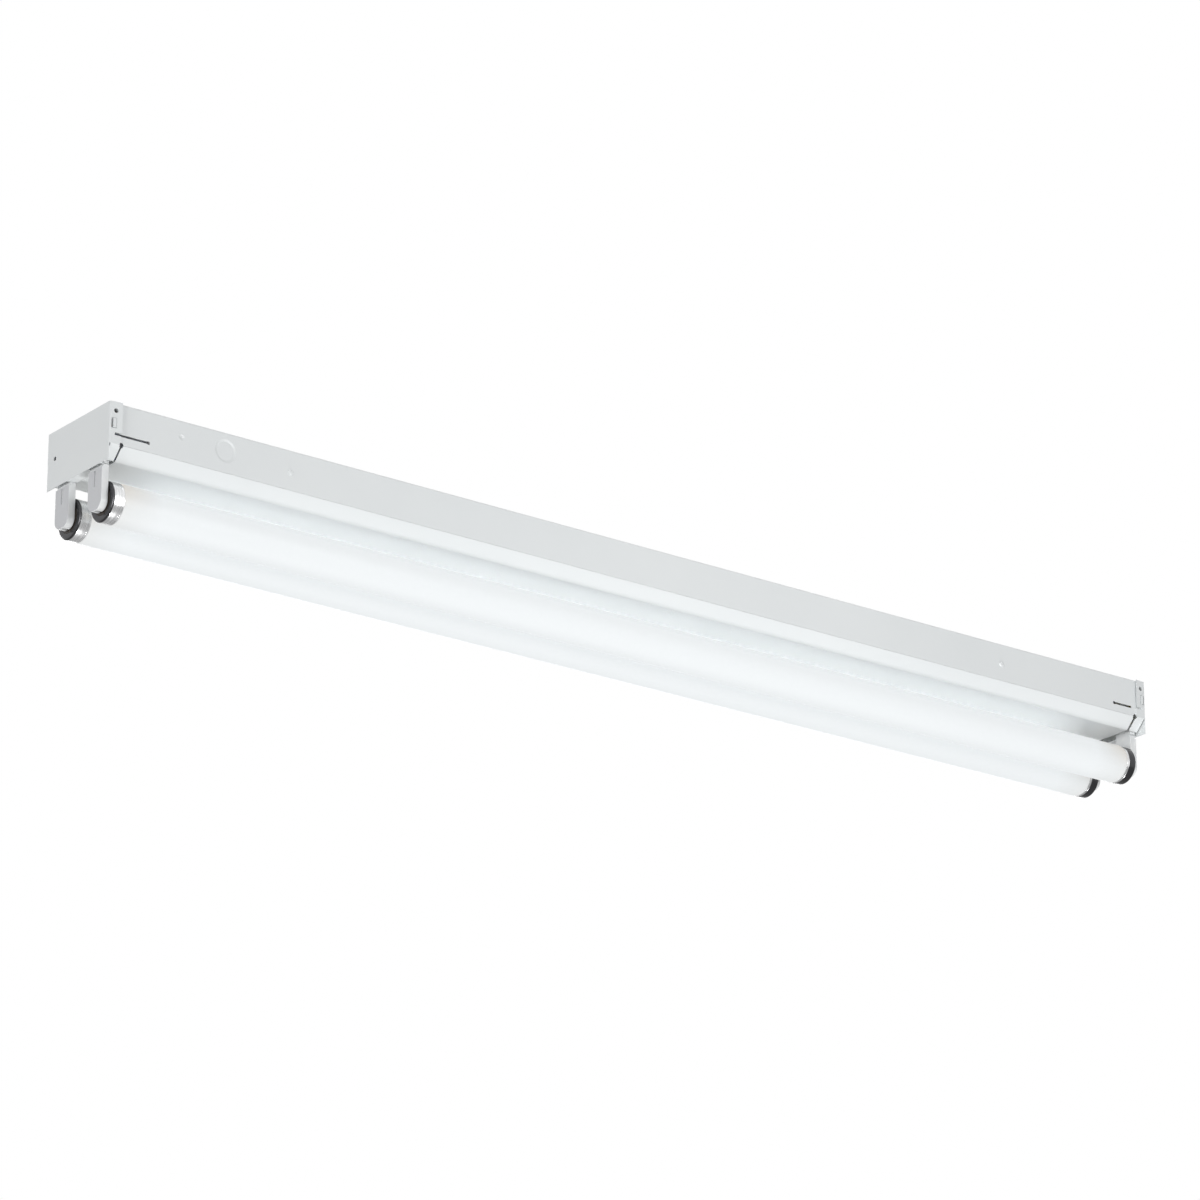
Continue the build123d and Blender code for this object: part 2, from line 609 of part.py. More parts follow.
def ballast_core():
    """Laminated iron core with two windows round its middle limb."""
    top = -SHEET - BASE_SHEET
    core = block(
        (-CORE_LENGTH / 2, CORE_LENGTH / 2),
        (-CORE_WIDTH / 2, CORE_WIDTH / 2),
        (top - CORE_HEIGHT, top),
    )
    window_x = CORE_LENGTH / 2 - CORE_LIMB
    for side in SIDES.values():
        window_y = sorted((side * CORE_LIMB / 2, side * (CORE_WIDTH - CORE_LIMB) / 2))
        core -= block((-window_x, window_x), window_y, (top - CORE_HEIGHT - OVERCUT, top + OVERCUT))
    return Pos(BALLAST_X + CORE_X, 0, 0) * core


def ballast_coils():
    """Two windings round the core's middle limb, one on each half of it."""
    top = -SHEET - BASE_SHEET - COIL_GAP
    limb = CORE_LIMB / 2 + COIL_GAP
    reach_y = (CORE_WIDTH - CORE_LIMB) / 2 - COIL_GAP
    window_x = CORE_LENGTH / 2 - CORE_LIMB - COIL_GAP
    coils = []
    for end in ENDS.values():
        coil_x = sorted((end * COIL_SPLIT / 2, end * window_x))
        halves = []
        for side in SIDES.values():
            wall_y = sorted((side * limb, side * reach_y))
            halves.append(block(coil_x, wall_y, (top - CORE_HEIGHT, top)))
        bridge = block(coil_x, (-reach_y, reach_y), (top - CORE_HEIGHT - COIL_BRIDGE, top - CORE_HEIGHT))
        coils.append(Pos(BALLAST_X + CORE_X, 0, 0) * (halves[0] + bridge + halves[1]))
    return Compound(children=coils)


def ballast_capacitor():
    """Oval capacitor can on the base plate, beside the core."""
    top = -SHEET - BASE_SHEET
    can = block(
        (-CAPACITOR_LENGTH / 2, CAPACITOR_LENGTH / 2),
        (-CAPACITOR_WIDTH / 2, CAPACITOR_WIDTH / 2),
        (top - CAPACITOR_HEIGHT, top),
    )
    can = fillet(can.edges().filter_by(Axis.X), CAPACITOR_EDGE_RADIUS)
    return Pos(BALLAST_X + CAPACITOR_X, 0, 0) * can


def ballast_studs():
    """Weld studs that stand on the channel's top and pass through the base plate's ears."""
    reach = CASE_LENGTH / 2 + BASE_EAR / 2
    studs = []
    for end in ENDS.values():
        studs.append(rod_z(STUD_DIAMETER, (-SHEET - STUD_LENGTH, -SHEET), BALLAST_X + end * reach, 0))
    return Compound(children=studs)


def ballast_nuts():
    """Hexagon nuts on the studs, against the ears."""
    reach = CASE_LENGTH / 2 + BASE_EAR / 2
    hexagon = RegularPolygon(NUT_WIDTH / 2, 6, major_radius=False)
    hexagon -= Circle(STUD_DIAMETER / 2 + RIVET_CLEARANCE)
    nut = extrude(hexagon, NUT_HEIGHT, dir=(0, 0, -1))
    nuts = []
    for end in ENDS.values():
        nuts.append(Pos(BALLAST_X + end * reach, 0, -SHEET - BASE_SHEET) * nut)
    return Compound(children=nuts)


def wire(points, radii):
    """A lead along straight runs with round bends."""
    path = FilletPolyline(*points, radius=radii)
    section = Plane(origin=path @ 0, z_dir=path % 0) * Circle(WIRE_DIAMETER / 2)
    return sweep(section, path=path)


def terminal_point(end, y):
    """Where a lead ends inside a lampholder's wire opening."""
    foot = -HOLDER_TOP_DROP - TERMINAL_DEPTH + CONTACT_CLEARANCE + CONTACT_THICKNESS
    return (end * CONTACT_X, y, foot + WIRE_TIP_GAP)


def lamp_leads(end, side):
    """The two leads from the ballast to one lampholder, along the channel."""
    case_face = BALLAST_X + end * CASE_LENGTH / 2
    lamp_y = side * LAMP_SPACING / 2
    near_y = lamp_y - side * TERMINAL_INNER_OFFSET
    far_y = lamp_y + side * TERMINAL_INNER_OFFSET
    jog_x = case_face + end * LEAD_JOG_START
    near = [
        (case_face, near_y, -WIRE_DROP),
        (end * CONTACT_X, near_y, -WIRE_DROP),
        terminal_point(end, near_y),
    ]
    far = [
        (case_face, side * LEAD_EXIT_Y, -WIRE_DROP),
        (jog_x, side * LEAD_EXIT_Y, -WIRE_DROP),
        (jog_x + end * LEAD_JOG_LENGTH, far_y, -WIRE_DROP),
        (end * CONTACT_X, far_y, -WIRE_DROP),
        terminal_point(end, far_y),
    ]
    return Compound(children=[wire(near, [WIRE_BEND]), wire(far, [JOG_BEND, JOG_BEND, WIRE_BEND])])


def lamp_jumpers(end):
    """The two leads that join the front and rear lampholders at one end."""
    wires = []
    for offset, drop in (
        (LAMP_SPACING / 2 + TERMINAL_OUTER_OFFSET, LONG_JUMPER_DROP),
        (LAMP_SPACING / 2 - TERMINAL_OUTER_OFFSET, SHORT_JUMPER_DROP),
    ):
        points = [
            terminal_point(end, -offset),
            (end * CONTACT_X, -offset, -drop),
            (end * CONTACT_X, offset, -drop),
            terminal_point(end, offset),
        ]
        wires.append(wire(points, JUMPER_BEND))
    return Compound(children=wires)


def supply_lead(y):
    """A lead from the ballast into its wire connector beside the supply hole."""
    start = BALLAST_X + CASE_LENGTH / 2
    return rod_x(WIRE_DIAMETER, (start, CONNECTOR_X + CONNECTOR_BORE_DEPTH / 2), y, -WIRE_DROP)


def wire_connectors():
    """Two twist-on connectors over the ends of the supply leads."""
    mouth = CONNECTOR_MOUTH_DIAMETER / 2
    tip = CONNECTOR_TIP_DIAMETER / 2
    bore = WIRE_DIAMETER / 2 + CONNECTOR_CLEARANCE
    cone = turn_about_x([
        (0, bore),
        (0, mouth),
        (CONNECTOR_COLLAR, mouth),
        (CONNECTOR_LENGTH, tip),
        (CONNECTOR_LENGTH, 0),
        (CONNECTOR_BORE_DEPTH, 0),
        (CONNECTOR_BORE_DEPTH, bore),
    ])
    return Compound(children=[Pos(CONNECTOR_X, y, -WIRE_DROP) * cone for y in (BLACK_LEAD_Y, WHITE_LEAD_Y)])


def ground_screw():
    """Hexagon-headed screw up through the right cross brace."""
    seat = -BRACE_DROP - BRACE_TAB / 2
    hexagon = RegularPolygon(GROUND_HEAD_WIDTH / 2, 6, major_radius=False)
    head = extrude(hexagon, GROUND_HEAD_HEIGHT, dir=(0, 0, -1))
    shank = rod_z(GROUND_SCREW_DIAMETER, (-SHEET, GROUND_SCREW_LENGTH), 0, 0)
    return Pos(BRACE_X, 0, seat) * (head + shank)


nodes = {
    "channel": channel(),
    "channel_cover": channel_cover(),
    "brace_rivets": brace_rivets(),
    "ballast_base": ballast_base(),
    "ballast_case": ballast_case(),
    "ballast_core": ballast_core(),
    "ballast_coils": ballast_coils(),
    "ballast_capacitor": ballast_capacitor(),
    "ballast_studs": ballast_studs(),
    "ballast_nuts": ballast_nuts(),
    "red_leads": lamp_leads(ENDS["left"], SIDES["front"]),
    "blue_leads": lamp_leads(ENDS["left"], SIDES["rear"]),
    "yellow_leads": lamp_leads(ENDS["right"], SIDES["rear"]),
    "yellow_jumpers": lamp_jumpers(ENDS["right"]),
    "black_lead": supply_lead(BLACK_LEAD_Y),
    "white_lead": supply_lead(WHITE_LEAD_Y),
    "wire_connectors": wire_connectors(),
    "ground_screw": ground_screw(),
}

for end_name, end in ENDS.items():
    nodes[f"{end_name}_end_plate"] = at_end(end_plate(), end)
    nodes[f"{end_name}_cross_brace"] = cross_brace(end)

for side_name, side in SIDES.items():
    axis = Pos(0, side * LAMP_SPACING / 2, -LAMP_DROP)
    lamp = f"{side_name}_lamp"
    nodes[f"{lamp}_tube"] = axis * glass_tube()
    pins = []
    discs = []
    stems = []
    cathodes = []
    for end_name, end in ENDS.items():
        nodes[f"{lamp}_{end_name}_cap"] = axis * at_end(lamp_cap(), end)
        nodes[f"{side_name}_{end_name}_lampholder"] = axis * at_end(lampholder(), end)
        nodes[f"{side_name}_{end_name}_rotor"] = axis * at_end(rotor(), end)
        nodes[f"{side_name}_{end_name}_contacts"] = axis * at_end(contacts(), end)
        pins += [axis * at_end(pin, end) for pin in lamp_pins()]
        discs.append(axis * at_end(insulator(), end))
        stems.append(axis * at_end(lamp_stem(), end))
        cathodes.append(axis * at_end(cathode(), end))
    nodes[f"{lamp}_pins"] = Compound(children=pins)
    nodes[f"{lamp}_insulators"] = Compound(children=discs)
    nodes[f"{lamp}_stems"] = Compound(children=stems)
    nodes[f"{lamp}_cathodes"] = Compound(children=cathodes)

os.makedirs("parts", exist_ok=True)
for name, piece in nodes.items():
    export_step(piece, f"parts/{name}.step")
height = max(HOLDER_BOTTOM_DROP, LAMP_DROP + LAMP_DIAMETER / 2)
print(f"{len(nodes)} nodes, {2 * END_X:.1f} long, {WIDTH:.1f} wide, {height:.1f} high")
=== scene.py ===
import bmesh
import bpy
import json
import math
from mathutils import Euler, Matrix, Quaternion, Vector

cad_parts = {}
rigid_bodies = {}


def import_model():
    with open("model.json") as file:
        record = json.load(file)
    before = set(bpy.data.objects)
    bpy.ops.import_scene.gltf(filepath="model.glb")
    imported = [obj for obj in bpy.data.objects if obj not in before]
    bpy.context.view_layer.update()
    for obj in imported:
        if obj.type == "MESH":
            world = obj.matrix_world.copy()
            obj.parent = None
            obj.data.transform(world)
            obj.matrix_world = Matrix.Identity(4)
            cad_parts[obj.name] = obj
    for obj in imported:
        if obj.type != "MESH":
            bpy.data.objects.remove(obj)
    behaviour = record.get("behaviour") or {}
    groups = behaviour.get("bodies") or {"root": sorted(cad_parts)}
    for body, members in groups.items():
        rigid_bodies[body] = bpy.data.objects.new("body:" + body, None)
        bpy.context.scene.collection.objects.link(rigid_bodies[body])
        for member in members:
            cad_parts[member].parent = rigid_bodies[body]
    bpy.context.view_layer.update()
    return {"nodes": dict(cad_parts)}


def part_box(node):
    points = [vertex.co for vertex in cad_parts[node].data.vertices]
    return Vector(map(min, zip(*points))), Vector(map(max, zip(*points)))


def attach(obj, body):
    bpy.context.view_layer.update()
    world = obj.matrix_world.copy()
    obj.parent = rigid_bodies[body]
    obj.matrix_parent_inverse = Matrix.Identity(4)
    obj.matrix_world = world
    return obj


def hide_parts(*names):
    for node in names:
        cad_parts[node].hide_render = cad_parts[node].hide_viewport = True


# A two-lamp strip light for a ceiling, in metres. X runs along the lamps, Z is up, and the origin
# is the centre of the face against the ceiling. Front is -Y, left is -X. The lamps are lit.
for startup_object in list(bpy.data.objects):
    bpy.data.objects.remove(startup_object)
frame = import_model()
nodes = frame["nodes"]


# Channel: one steel sheet folded into a U, punched and pressed before it was folded.
# It is dipped, sprayed with white enamel and baked, which leaves a fine orange peel.
def new_finish(name, values):
    """A material with constant values on its shader; returns it, its node tree and the shader."""
    material = bpy.data.materials.new(name)
    material.use_nodes = True
    tree = material.node_tree
    shader = tree.nodes["Principled BSDF"]
    for socket, value in values.items():
        shader.inputs[socket].default_value = value
    return material, tree, shader


def mottle(tree, size, detail=2.0, stretch=(1, 1, 1)):
    """Soft noise on the piece's own coordinates, with spots about this many metres across."""
    place = tree.nodes.new("ShaderNodeTexCoord")
    mapping = tree.nodes.new("ShaderNodeMapping")
    mapping.inputs["Scale"].default_value = stretch
    noise = tree.nodes.new("ShaderNodeTexNoise")
    noise.inputs["Scale"].default_value = 1 / size
    noise.inputs["Detail"].default_value = detail
    tree.links.new(place.outputs["Object"], mapping.inputs["Vector"])
    tree.links.new(mapping.outputs["Vector"], noise.inputs["Vector"])
    return noise.outputs["Fac"]


def between(tree, factor, first, second, start=0.3, end=0.7):
    """A colour that goes from the first to the second as the factor goes from start to end."""
    ramp = tree.nodes.new("ShaderNodeValToRGB")
    ramp.color_ramp.elements[0].position = start
    ramp.color_ramp.elements[0].color = (*first, 1)
    ramp.color_ramp.elements[1].position = end
    ramp.color_ramp.elements[1].color = (*second, 1)
    tree.links.new(factor, ramp.inputs["Fac"])
    return ramp.outputs["Color"]


def rescaled(tree, factor, first, second, start=0.3, end=0.7):
    """A number that goes from the first to the second as the factor goes from start to end."""
    remap = tree.nodes.new("ShaderNodeMapRange")
    remap.inputs["From Min"].default_value = start
    remap.inputs["From Max"].default_value = end
    remap.inputs["To Min"].default_value = first
    remap.inputs["To Max"].default_value = second
    tree.links.new(factor, remap.inputs["Value"])
    return remap.outputs["Result"]


def paint(tree, shader, factor, first, second):
    """Takes the shader's colour from the first to the second with the factor."""
    tree.links.new(between(tree, factor, first, second), shader.inputs["Base Color"])


def polish(tree, shader, factor, roughness):
    """Takes the shader's roughness from the first of two values to the second with the factor."""
    tree.links.new(rescaled(tree, factor, *roughness), shader.inputs["Roughness"])


def emboss(tree, shader, height, depth, strength=0.5):
    """Relief of this depth in metres on the shader's normal."""
    bump = tree.nodes.new("ShaderNodeBump")
    bump.inputs["Strength"].default_value = strength
    bump.inputs["Distance"].default_value = depth
    tree.links.new(height, bump.inputs["Height"])
    tree.links.new(bump.outputs["Normal"], shader.inputs["Normal"])


def wear(material, *names):
    """Puts a finish on CAD nodes."""
    for name in names:
        nodes[name].data.materials.clear()
        nodes[name].data.materials.append(material)


ENAMEL_DULL = (0.755, 0.782, 0.790)
ENAMEL_CLEAN = (0.785, 0.810, 0.816)
ENAMEL_CLOUDS = 0.16
ENAMEL_SHEEN = 0.03
ENAMEL_ROUGHNESS = (0.34, 0.46)
ORANGE_PEEL = 0.0016
ORANGE_PEEL_DEPTH = 0.00005
white_enamel, tree, shader = new_finish(
    "white_enamel", {"Coat Weight": 0.25, "Coat Roughness": 0.12})
paint(tree, shader, mottle(tree, ENAMEL_CLOUDS, detail=3.0), ENAMEL_DULL, ENAMEL_CLEAN)
polish(tree, shader, mottle(tree, ENAMEL_SHEEN), ENAMEL_ROUGHNESS)
emboss(tree, shader, mottle(tree, ORANGE_PEEL), ORANGE_PEEL_DEPTH)
wear(white_enamel, "channel")


# Cross braces: two zinc-plated straps inside the channel that keep its sides apart.
# The right one is pierced for the green ground screw that bonds the metalwork.
ZINC_DARK = (0.36, 0.37, 0.38)
ZINC_LIGHT = (0.56, 0.57, 0.58)
ZINC_SPANGLE = 0.006
ZINC_ROUGHNESS = (0.5, 0.3)
zinc_steel, tree, shader = new_finish("zinc_steel", {"Metallic": 1.0})
spangle = mottle(tree, ZINC_SPANGLE, detail=1.0)
paint(tree, shader, spangle, ZINC_DARK, ZINC_LIGHT)
polish(tree, shader, spangle, ZINC_ROUGHNESS)
wear(zinc_steel, "left_cross_brace", "right_cross_brace")

GROUND_DARK = (0.03, 0.24, 0.08)
GROUND_LIGHT = (0.06, 0.40, 0.15)
GROUND_SPOTS = 0.002
GROUND_SHEEN = 0.001
GROUND_ROUGHNESS = (0.3, 0.5)
ground_green, tree, shader = new_finish("ground_green", {"Metallic": 0.4})
paint(tree, shader, mottle(tree, GROUND_SPOTS), GROUND_DARK, GROUND_LIGHT)
polish(tree, shader, mottle(tree, GROUND_SHEEN), GROUND_ROUGHNESS)
wear(ground_green, "ground_screw")


# Rivets: four blind rivets, one at each end of each brace, painted with the channel.
# Each is turned from a profile about its own axis, with the domed head outside the channel's side.
TURNING_CORE = 0.001
CORNER_STEPS = 6
SEAM_GAP = 1e-6
SHARP_ANGLE = 32


def put(name, data):
    """A new object in the scene."""
    made = bpy.data.objects.new(name, data)
    bpy.context.scene.collection.objects.link(made)
    return made


def ring_mesh(name, points, corners):
    """A closed ring of edges through these points, with a rounding radius at each point."""
    mesh = bpy.data.meshes.new(name)
    mesh.from_pydata(points, [(i, (i + 1) % len(points)) for i in range(len(points))], [])
    mesh.attributes.new("corner", "FLOAT", "POINT").data.foreach_set("value", corners)
    return mesh


def turning_tree():
    """Nodes that turn a closed profile about an axis and set a copy at each place, facing out."""
    tree = bpy.data.node_groups.new("turned_pieces", "GeometryNodeTree")
    sockets = {"Profile": "Geometry", "Places": "Object", "Sides": "Int", "Finish": "Material"}
    for name, kind in sockets.items():
        tree.interface.new_socket(name, in_out="INPUT", socket_type=f"NodeSocket{kind}")
    tree.interface.new_socket("Pieces", in_out="OUTPUT", socket_type="NodeSocketGeometry")

    def add(kind, **inputs):
        node = tree.nodes.new(kind)
        for name, value in inputs.items():
            socket = node.inputs[name.replace("_", " ")]
            if isinstance(value, bpy.types.NodeSocket):
                tree.links.new(value, socket)
            else:
                socket.default_value = value
        return node

    given = add("NodeGroupInput").outputs
    corner = add("GeometryNodeInputNamedAttribute", Name="corner").outputs["Attribute"]
    outline = add("GeometryNodeMeshToCurve", Mesh=given["Profile"]).outputs["Curve"]
    rounded = add("GeometryNodeFilletCurve", Curve=outline, Radius=corner, Limit_Radius=True)
    rounded.mode = "POLY"
    rounded.inputs["Count"].default_value = CORNER_STEPS
    ring = add("GeometryNodeCurvePrimitiveCircle", Resolution=given["Sides"], Radius=TURNING_CORE)
    turned = add("GeometryNodeCurveToMesh", Curve=ring.outputs["Curve"],
                 Profile_Curve=rounded.outputs["Curve"])
    closed = add("GeometryNodeMergeByDistance", Geometry=turned.outputs["Mesh"], Distance=SEAM_GAP)
    places = add("GeometryNodeObjectInfo", Object=given["Places"]).outputs["Geometry"]
    outward = add("GeometryNodeInputNamedAttribute", Name="outward")
    outward.data_type = "FLOAT_VECTOR"
    facing = add("FunctionNodeAlignRotationToVector", Vector=outward.outputs["Attribute"])
    facing.axis = "Z"
    copies = add("GeometryNodeInstanceOnPoints", Points=places, Instance=closed.outputs["Geometry"],
                 Rotation=facing.outputs["Rotation"])
    real = add("GeometryNodeRealizeInstances", Geometry=copies.outputs["Instances"])
    coloured = add("GeometryNodeSetMaterial", Geometry=real.outputs["Geometry"],
                   Material=given["Finish"])
    add("NodeGroupOutput", Pieces=coloured.outputs["Geometry"])
    return tree


turned_pieces = turning_tree()


def turn(name, profile, places, finish, sides):
    """Turned pieces as one plain mesh.

    The profile lists (distance along the axis, radius, rounding), the places (point, outward).
    It is carried round a small ring, so its radii are counted from that ring.
    """
    points = [(radius - TURNING_CORE, -distance, 0) for distance, radius, _ in profile]
    piece = put(name, ring_mesh(name, points, [rounding for _, _, rounding in profile]))
    marks = bpy.data.meshes.new(f"{name}_places")
    marks.from_pydata([point for point, _ in places], [], [])
    outward = marks.attributes.new("outward", "FLOAT_VECTOR", "POINT")
    outward.data.foreach_set("vector", [value for _, way in places for value in way])
    place_object = put(f"{name}_places", marks)

    maker = piece.modifiers.new("turned", "NODES")
    maker.node_group = turned_pieces
    values = {"Places": place_object, "Sides": sides, "Finish": finish}
    for socket in turned_pieces.interface.items_tree:
        if socket.name in values:
            maker[socket.identifier] = values[socket.name]
    evaluated = piece.evaluated_get(bpy.context.evaluated_depsgraph_get())
    shape = bpy.data.meshes.new_from_object(evaluated)
    piece.modifiers.remove(maker)
    piece.data = shape
    bpy.data.objects.remove(place_object)

    solid = bmesh.new()
    solid.from_mesh(shape)
    bmesh.ops.recalc_face_normals(solid, faces=solid.faces)
    solid.to_mesh(shape)
    solid.free()
    shape.polygons.foreach_set("use_smooth", [True] * len(shape.polygons))
    shape.set_sharp_from_angle(angle=math.radians(SHARP_ANGLE))
    return piece


RIVET_RADIUS = 0.0016
RIVET_HEAD_RADIUS = 0.0027
RIVET_DOME = 0.0011
RIVET_RIM = 0.3 * RIVET_DOME
RIVET_RIM_ROUNDING = 0.0004
RIVET_CROWN = 0.55 * RIVET_HEAD_RADIUS
RIVET_CROWN_ROUNDING = 0.0012
RIVET_TAIL = 0.0008
RIVET_TAIL_ROUNDING = 0.0002
low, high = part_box("brace_rivets")
brace_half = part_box("left_cross_brace")[1].y
rivet_length = high.y - brace_half + 2 * RIVET_TAIL
dome_start = rivet_length - RIVET_DOME
rivet_profile = [
    (0, 0, 0),
    (0, RIVET_HEAD_RADIUS, RIVET_TAIL_ROUNDING),
    (RIVET_TAIL, RIVET_HEAD_RADIUS, RIVET_TAIL_ROUNDING),
    (RIVET_TAIL, RIVET_RADIUS, 0),
    (dome_start, RIVET_RADIUS, 0),
    (dome_start, RIVET_HEAD_RADIUS, 0),
    (dome_start + RIVET_RIM, RIVET_HEAD_RADIUS, RIVET_RIM_ROUNDING),
    (rivet_length, RIVET_CROWN, RIVET_CROWN_ROUNDING),
    (rivet_length, 0, 0),
]
rivet_x = high.x - RIVET_HEAD_RADIUS
rivet_y = high.y - rivet_length
rivet_z = (low.z + high.z) / 2
rivet_places = []
for side in (-1, 1):
    for end in (-1, 1):
        rivet_places.append(((end * rivet_x, side * rivet_y, rivet_z), (0, side, 0)))
rivets = turn("rivets", rivet_profile, rivet_places, white_enamel, sides=32)
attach(rivets, "housing")
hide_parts("brace_rivets")


# Ballast: a drawn steel can over an iron core with two windings and an oval capacitor, on a base
# plate. The can and plate are dipped in grey enamel; the core is a stack of thin laminations.
# It hangs in the channel on two weld studs with nuts, zinc-plated like the braces.
BALLAST_DARK = (0.10, 0.11, 0.12)
BALLAST_LIGHT = (0.17, 0.18, 0.19)
BALLAST_CLOUDS = 0.05
BALLAST_SHEEN = 0.008
BALLAST_ROUGHNESS = (0.4, 0.6)
BALLAST_RUNS = 0.003
BALLAST_RUN_DEPTH = 0.0001
ballast_enamel, tree, shader = new_finish(
    "ballast_enamel", {"Coat Weight": 0.2, "Coat Roughness": 0.3})
paint(tree, shader, mottle(tree, BALLAST_CLOUDS, detail=4.0), BALLAST_DARK, BALLAST_LIGHT)
polish(tree, shader, mottle(tree, BALLAST_SHEEN), BALLAST_ROUGHNESS)
emboss(tree, shader, mottle(tree, BALLAST_RUNS), BALLAST_RUN_DEPTH)
wear(ballast_enamel, "ballast_base", "ballast_case")
wear(zinc_steel, "ballast_studs", "ballast_nuts")

IRON_DARK = (0.10, 0.10, 0.11)
IRON_LIGHT = (0.30, 0.30, 0.31)
LAMINATION = 0.0012
LAMINATION_DEPTH = 0.0002
core_iron, tree, shader = new_finish("core_iron", {"Metallic": 1.0, "Roughness": 0.5})
laminations = mottle(tree, LAMINATION, detail=1.0, stretch=(0.02, 0.02, 1))
paint(tree, shader, laminations, IRON_DARK, IRON_LIGHT)
emboss(tree, shader, laminations, LAMINATION_DEPTH)
wear(core_iron, "ballast_core")

COPPER_DARK = (0.35, 0.13, 0.06)
COPPER_LIGHT = (0.72, 0.33, 0.17)
COIL_WIRE = 0.0009
COIL_WIRE_DEPTH = 0.0003
coil_copper, tree, shader = new_finish("coil_copper", {"Metallic": 1.0, "Roughness": 0.35})
windings = mottle(tree, COIL_WIRE, detail=1.0, stretch=(1, 0.03, 0.03))
paint(tree, shader, windings, COPPER_DARK, COPPER_LIGHT)
emboss(tree, shader, windings, COIL_WIRE_DEPTH)
wear(coil_copper, "ballast_coils")

CAN_DARK = (0.48, 0.48, 0.49)
CAN_LIGHT = (0.66, 0.66, 0.67)
CAN_LINES = 0.002
CAN_ROUGHNESS = (0.25, 0.45)
capacitor_can, tree, shader = new_finish("capacitor_can", {"Metallic": 1.0})
drawn_lines = mottle(tree, CAN_LINES, stretch=(0.05, 1, 1))
paint(tree, shader, drawn_lines, CAN_DARK, CAN_LIGHT)
polish(tree, shader, drawn_lines, CAN_ROUGHNESS)
wear(capacitor_can, "ballast_capacitor")


# Wiring: solid leads in coloured thermoplastic, with slightly uneven insulation.
# The supply leads end in twist-on connectors beside the supply hole.
LEAD_COLOURS = {
    "red_insulation": ((0.36, 0.02, 0.02), (0.52, 0.04, 0.03), ["red_leads"]),
    "blue_insulation": ((0.02, 0.06, 0.34), (0.04, 0.11, 0.48), ["blue_leads"]),
    "yellow_insulation": ((0.60, 0.42, 0.03), (0.78, 0.57, 0.06),
                          ["yellow_leads", "yellow_jumpers"]),
    "black_insulation": ((0.012, 0.012, 0.013), (0.03, 0.03, 0.032), ["black_lead"]),
    "white_insulation": ((0.62, 0.62, 0.60), (0.76, 0.76, 0.74), ["white_lead"]),
    "connector_plastic": ((0.50, 0.13, 0.02), (0.64, 0.20, 0.03), ["wire_connectors"]),
}
LEAD_SPOTS = 0.02
LEAD_SHEEN = 0.004
LEAD_ROUGHNESS = (0.35, 0.55)
for slot, (dull, clean, lead_names) in LEAD_COLOURS.items():
    insulation, tree, shader = new_finish(slot, {"Specular IOR Level": 0.4})
    paint(tree, shader, mottle(tree, LEAD_SPOTS), dull, clean)
    polish(tree, shader, mottle(tree, LEAD_SHEEN), LEAD_ROUGHNESS)
    wear(insulation, *lead_names)


# End plates: pressed from the same sheet as the channel, with flanges that lap over its sides.
# Each flange is locked by a lug, and the notched shelf along the bottom carries two lampholders.
wear(white_enamel, "left_end_plate", "right_end_plate")


# Lampholders: moulded white plastic, greyer on the outer face, pushed up into the notches of the
# end plates' shelves. Inside each, a plastic rotor takes the lamp's pins between two bronze strips.
def along(tree, axis):
    """Where a point of the piece lies along one axis."""
    place = tree.nodes.new("ShaderNodeTexCoord")
    split = tree.nodes.new("ShaderNodeSeparateXYZ")
    tree.links.new(place.outputs["Object"], split.inputs["Vector"])
    return split.outputs[axis]


def worked(tree, operation, *terms):
    """The result of one operation on these terms, which are numbers or sockets."""
    node = tree.nodes.new("ShaderNodeMath")
    node.operation = operation
    for socket, term in zip(node.inputs, terms):
        if isinstance(term, bpy.types.NodeSocket):
            tree.links.new(term, socket)
        else:
            socket.default_value = term
    return node.outputs["Value"]


def from_middle(tree, shift=0.0):
    """How far a point lies along the fitting from its middle, or from a place left of it."""
    return worked(tree, "ABSOLUTE", worked(tree, "ADD", along(tree, "X"), shift))


def overlaid(tree, factor, under, over):
    """The first colour with a plain second colour laid over it where the factor is 1."""
    mix = tree.nodes.new("ShaderNodeMix")
    mix.data_type = "RGBA"
    mix.inputs["B"].default_value = (*over, 1)
    tree.links.new(factor, mix.inputs["Factor"])
    tree.links.new(under, mix.inputs["A"])
    return mix.outputs["Result"]


ENDS = ("left", "right")
SIDES = ("front", "rear")
HOLDER_DULL = (0.78, 0.80, 0.81)
HOLDER_CLEAN = (0.86, 0.87, 0.87)
HOLDER_SPOTS = 0.012
HOLDER_SHEEN = 0.003
HOLDER_ROUGHNESS = (0.32, 0.45)
HOLDER_GRAIN = 0.0007
HOLDER_GRAIN_DEPTH = 0.00003
HOLDER_BACK = (0.60, 0.61, 0.63)
BACK_DEPTH = 0.0003
holder_plastic, tree, shader = new_finish(
    "holder_plastic", {"Subsurface Weight": 0.05, "Subsurface Radius": (0.004, 0.004, 0.004)})
holder_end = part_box("front_right_lampholder")[1].x
back_face = rescaled(
    tree, from_middle(tree), 0, 1, holder_end - 2 * BACK_DEPTH, holder_end - BACK_DEPTH)
skin = between(tree, mottle(tree, HOLDER_SPOTS, detail=3.0), HOLDER_DULL, HOLDER_CLEAN)
tree.links.new(overlaid(tree, back_face, skin, HOLDER_BACK), shader.inputs["Base Color"])
polish(tree, shader, mottle(tree, HOLDER_SHEEN), HOLDER_ROUGHNESS)
emboss(tree, shader, mottle(tree, HOLDER_GRAIN), HOLDER_GRAIN_DEPTH)
wear(holder_plastic, *[f"{side}_{end}_lampholder" for side in SIDES for end in ENDS])

